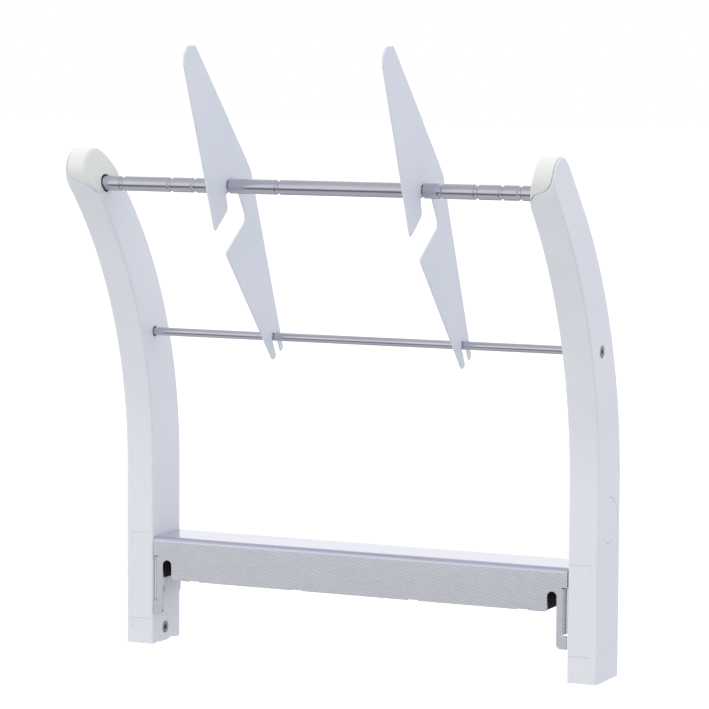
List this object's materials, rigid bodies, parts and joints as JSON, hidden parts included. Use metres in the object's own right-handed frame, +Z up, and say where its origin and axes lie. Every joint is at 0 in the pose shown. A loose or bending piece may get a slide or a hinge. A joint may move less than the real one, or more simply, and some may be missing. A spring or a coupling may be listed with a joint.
{
  "type": "wall mounted drying rack",
  "caption": "Wall-hung rack: two forward-curving arms joined by a folded steel channel and two steel rods, with lift-off divider plates hooked over the rods.",
  "frame": {"origin": "middle of the channel's wall lip, on the wall plane", "axes": "+X along the rods to the right, +Y into the wall, +Z up; the arms lean towards -Y at the top"},
  "size_m": [0.5, 0.2406, 0.5912],
  "materials": {
    "white_shell": "satin moulded",
    "cream_cap": "satin moulded",
    "white_divider": "fine matte powder coat",
    "rod_steel": "ground and polished along the rod",
    "brushed_sheet": "fine linen-rolled, satin",
    "black_rubber": "matte",
    "screw_steel": "plain",
    "core_metal": "as cast",
    "dark_socket": "moulded, glass filled"
  },
  "bodies": {
    "frame": {"left_arm_shell": "white_shell", "left_arm_cap": "cream_cap", "left_arm_core": "core_metal", "left_round_cover": "white_shell", "left_top_rod_socket": "dark_socket", "left_lower_rod_ferrule": "dark_socket", "left_lower_rod_screw": "screw_steel", "left_foot_screw": "screw_steel", "left_flange_screw": "screw_steel", "left_cheek_plate": "white_shell", "left_stud_block": "black_rubber", "right_arm_shell": "white_shell", "right_arm_cap": "cream_cap", "right_arm_core": "core_metal", "right_round_cover": "white_shell", "right_top_rod_socket": "dark_socket", "right_lower_rod_ferrule": "dark_socket", "right_lower_rod_screw": "screw_steel", "right_foot_screw": "screw_steel", "right_flange_screw": "screw_steel", "right_cheek_plate": "white_shell", "right_stud_block": "black_rubber", "top_rod": "rod_steel", "lower_rod": "rod_steel", "channel": "brushed_sheet"},
    "left_divider_plate": {"left_divider": "white_divider"},
    "right_divider_plate": {"right_divider": "white_divider"}
  },
  "joints": [
    {"name": "left_divider_lift", "type": "slide", "parent": "frame", "child": "left_divider_plate", "axis": [0, -0.445, 0.8955], "range_m": [0, 0.03]},
    {"name": "right_divider_lift", "type": "slide", "parent": "frame", "child": "right_divider_plate", "axis": [0, -0.445, 0.8955], "range_m": [0, 0.03]}
  ]
}
